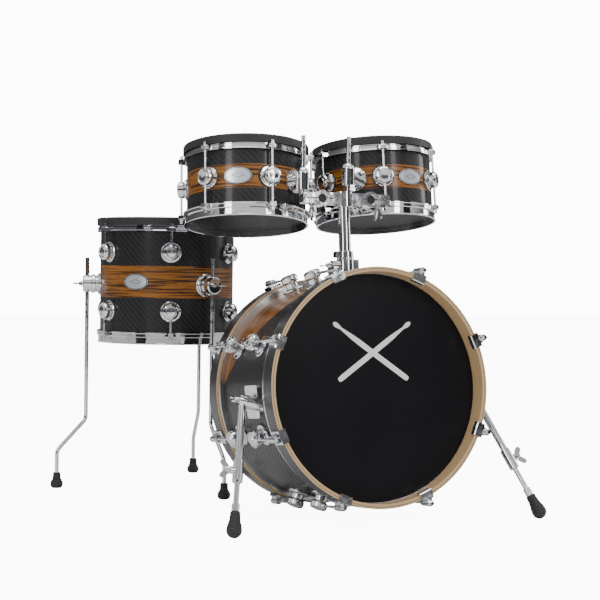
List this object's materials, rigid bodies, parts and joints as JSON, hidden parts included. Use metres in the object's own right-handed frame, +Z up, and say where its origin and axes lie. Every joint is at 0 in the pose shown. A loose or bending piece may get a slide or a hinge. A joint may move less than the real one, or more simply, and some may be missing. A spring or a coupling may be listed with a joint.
{
  "type": "acoustic drum kit",
  "caption": "Compact acoustic drum kit: a kick drum on fold-out spurs carrying rack toms on a post, and a floor tom on bent legs.",
  "frame": {"origin": "on the floor, under the middle of the whole kit's outline seen from above", "axes": "+Z up, -Y towards the audience, so the kick's front head faces -Y; +X to the right seen from the audience"},
  "size_m": [0.8322, 0.9306, 0.795],
  "materials": {
    "carbon_shell": "gloss lacquer over carbon weave",
    "maple_hoop": "satin lacquer",
    "chrome": "polished plating",
    "head_film": "satin film",
    "black_rubber": "matt",
    "badge_plate": "brushed and engraved"
  },
  "bodies": {
    "kick_drum": {"kick_shell": "carbon_shell", "kick_hoops": "maple_hoop", "kick_heads": "head_film", "kick_lugs": "chrome", "kick_claws": "chrome", "kick_tension_rods": "chrome", "tom_post_base": "chrome", "spur_brackets": "chrome"},
    "post_base_wing_body": {"post_base_wing": "chrome"},
    "post": {"tom_post": "chrome"},
    "holder": {"tom_holder": "chrome"},
    "holder_wing_left_body": {"holder_wing_left": "chrome"},
    "arm_left": {"tom_arm_left": "chrome"},
    "rod_left": {"tom_rod_left": "chrome"},
    "left_tom": {"left_tom_shell": "carbon_shell", "left_tom_hoops": "chrome", "left_tom_rubber_rim": "black_rubber", "left_tom_heads": "head_film", "left_tom_lugs": "chrome", "left_tom_rods": "chrome", "left_tom_badge": "badge_plate", "left_tom_bracket": "chrome"},
    "holder_wing_right_body": {"holder_wing_right": "chrome"},
    "arm_right": {"tom_arm_right": "chrome"},
    "rod_right": {"tom_rod_right": "chrome"},
    "right_tom": {"right_tom_shell": "carbon_shell", "right_tom_hoops": "chrome", "right_tom_rubber_rim": "black_rubber", "right_tom_heads": "head_film", "right_tom_lugs": "chrome", "right_tom_rods": "chrome", "right_tom_badge": "badge_plate", "right_tom_bracket": "chrome"},
    "spur_left_tube": {"spur_tube_left": "chrome"},
    "spur_left_leg": {"spur_leg_left": "chrome", "spur_foot_left": "black_rubber"},
    "spur_left_leg_wing": {"spur_leg_wing_left": "chrome"},
    "spur_left_pivot_wing": {"spur_pivot_wing_left": "chrome"},
    "spur_right_tube": {"spur_tube_right": "chrome"},
    "spur_right_leg": {"spur_leg_right": "chrome", "spur_foot_right": "black_rubber"},
    "spur_right_leg_wing": {"spur_leg_wing_right": "chrome"},
    "spur_right_pivot_wing": {"spur_pivot_wing_right": "chrome"},
    "floor_tom": {"floor_tom_shell": "carbon_shell", "floor_tom_hoops": "chrome", "floor_tom_rubber_rim": "black_rubber", "floor_tom_heads": "head_film", "floor_tom_lugs": "chrome", "floor_tom_rods": "chrome", "floor_tom_badge": "badge_plate", "floor_tom_leg_brackets": "chrome"},
    "left_leg": {"floor_leg_left": "chrome", "floor_foot_left": "black_rubber"},
    "left_leg_wing": {"floor_leg_wing_left": "chrome"},
    "front_leg": {"floor_leg_front": "chrome", "floor_foot_front": "black_rubber"},
    "front_leg_wing": {"floor_leg_wing_front": "chrome"},
    "rear_leg": {"floor_leg_rear": "chrome", "floor_foot_rear": "black_rubber"},
    "rear_leg_wing": {"floor_leg_wing_rear": "chrome"}
  },
  "joints": [
    {"name": "post_height", "type": "slide", "parent": "kick_drum", "child": "post", "axis": [0, 0.0981, 0.9952], "range_m": [0, 0.05]},
    {"name": "holder_swivel", "type": "hinge", "parent": "post", "child": "holder", "pos_m": [0.0646, -0.20731, 0.65019], "axis": [0, 0.0981, 0.9952], "range_deg": [-4, 18]},
    {"name": "post_base_wing_turn", "type": "hinge", "parent": "kick_drum", "child": "post_base_wing_body", "pos_m": [0.0313, -0.22085, 0.51286], "axis": [-1, 0, 0], "continuous": true},
    {"name": "holder_wing_left_turn", "type": "hinge", "parent": "holder", "child": "holder_wing_left_body", "pos_m": [-0.0114, -0.2152, 0.63951], "axis": [0, -0.0981, -0.9952], "continuous": true},
    {"name": "arm_left_reach", "type": "slide", "parent": "holder", "child": "arm_left", "axis": [0, 0.9952, -0.0981], "range_m": [0, 0.008]},
    {"name": "rod_left_tilt", "type": "hinge", "parent": "arm_left", "child": "rod_left", "pos_m": [0.0086, -0.18343, 0.64784], "axis": [1, 0, 0], "range_deg": [-5, 8]},
    {"name": "left_tom_height", "type": "slide", "parent": "rod_left", "child": "left_tom", "axis": [0, 0, 1], "range_m": [-0.002, 0.04]},
    {"name": "holder_wing_right_turn", "type": "hinge", "parent": "holder", "child": "holder_wing_right_body", "pos_m": [0.1406, -0.2152, 0.63951], "axis": [0, -0.0981, -0.9952], "continuous": true},
    {"name": "arm_right_reach", "type": "slide", "parent": "holder", "child": "arm_right", "axis": [0, 0.9952, -0.0981], "range_m": [0, 0.008]},
    {"name": "rod_right_tilt", "type": "hinge", "parent": "arm_right", "child": "rod_right", "pos_m": [0.1206, -0.17447, 0.64696], "axis": [1, 0, 0], "range_deg": [-5, 8]},
    {"name": "right_tom_height", "type": "slide", "parent": "rod_right", "child": "right_tom", "axis": [0, 0, 1], "range_m": [-0.002, 0.04]},
    {"name": "spur_left_fold", "type": "hinge", "parent": "kick_drum", "child": "spur_left_tube", "pos_m": [-0.1987, -0.3063, 0.2436], "axis": [0.9652, -0.1394, -0.2213], "range_deg": [0, 80]},
    {"name": "spur_left_length", "type": "slide", "parent": "spur_left_tube", "child": "spur_left_leg", "axis": [-0.2615, -0.5144, -0.8167], "range_m": [-0.03, 0.05]},
    {"name": "spur_left_leg_wing_turn", "type": "hinge", "parent": "spur_left_tube", "child": "spur_left_leg_wing", "pos_m": [-0.25619, -0.38414, 0.12003], "axis": [-0.9652, 0.1394, 0.2213], "continuous": true},
    {"name": "spur_left_pivot_wing_turn", "type": "hinge", "parent": "kick_drum", "child": "spur_left_pivot_wing", "pos_m": [-0.20671, -0.30514, 0.24544], "axis": [-0.9652, 0.1394, 0.2213], "continuous": true},
    {"name": "spur_right_fold", "type": "hinge", "parent": "kick_drum", "child": "spur_right_tube", "pos_m": [0.3279, -0.3063, 0.2436], "axis": [0.9652, 0.1394, 0.2213], "range_deg": [0, 80]},
    {"name": "spur_right_length", "type": "slide", "parent": "spur_right_tube", "child": "spur_right_leg", "axis": [0.2615, -0.5144, -0.8167], "range_m": [-0.03, 0.05]},
    {"name": "spur_right_leg_wing_turn", "type": "hinge", "parent": "spur_right_tube", "child": "spur_right_leg_wing", "pos_m": [0.38539, -0.38414, 0.12003], "axis": [0.9652, 0.1394, 0.2213], "continuous": true},
    {"name": "spur_right_pivot_wing_turn", "type": "hinge", "parent": "kick_drum", "child": "spur_right_pivot_wing", "pos_m": [0.33591, -0.30514, 0.24544], "axis": [0.9652, 0.1394, 0.2213], "continuous": true},
    {"name": "floor_tom_move_away", "type": "slide", "parent": "kick_drum", "child": "floor_tom", "axis": [0, 1, 0], "range_m": [0, 0.3]},
    {"name": "left_leg_height", "type": "slide", "parent": "floor_tom", "child": "left_leg", "axis": [0, 0, 1], "range_m": [-0.03, 0.06]},
    {"name": "left_leg_wing_turn", "type": "hinge", "parent": "floor_tom", "child": "left_leg_wing", "pos_m": [-0.34476, 0.30542, 0.465], "axis": [-0.9686, 0.2487, 0], "continuous": true},
    {"name": "front_leg_height", "type": "slide", "parent": "floor_tom", "child": "front_leg", "axis": [0, 0, 1], "range_m": [-0.03, 0.06]},
    {"name": "front_leg_wing_turn", "type": "hinge", "parent": "floor_tom", "child": "front_leg_wing", "pos_m": [-0.11198, 0.07101, 0.465], "axis": [0.2419, -0.9703, 0], "continuous": true},
    {"name": "rear_leg_height", "type": "slide", "parent": "floor_tom", "child": "rear_leg", "axis": [0, 0, 1], "range_m": [-0.03, 0.06]},
    {"name": "rear_leg_wing_turn", "type": "hinge", "parent": "floor_tom", "child": "rear_leg_wing", "pos_m": [-0.02134, 0.39238, 0.465], "axis": [0.7133, 0.7009, 0], "continuous": true}
  ]
}
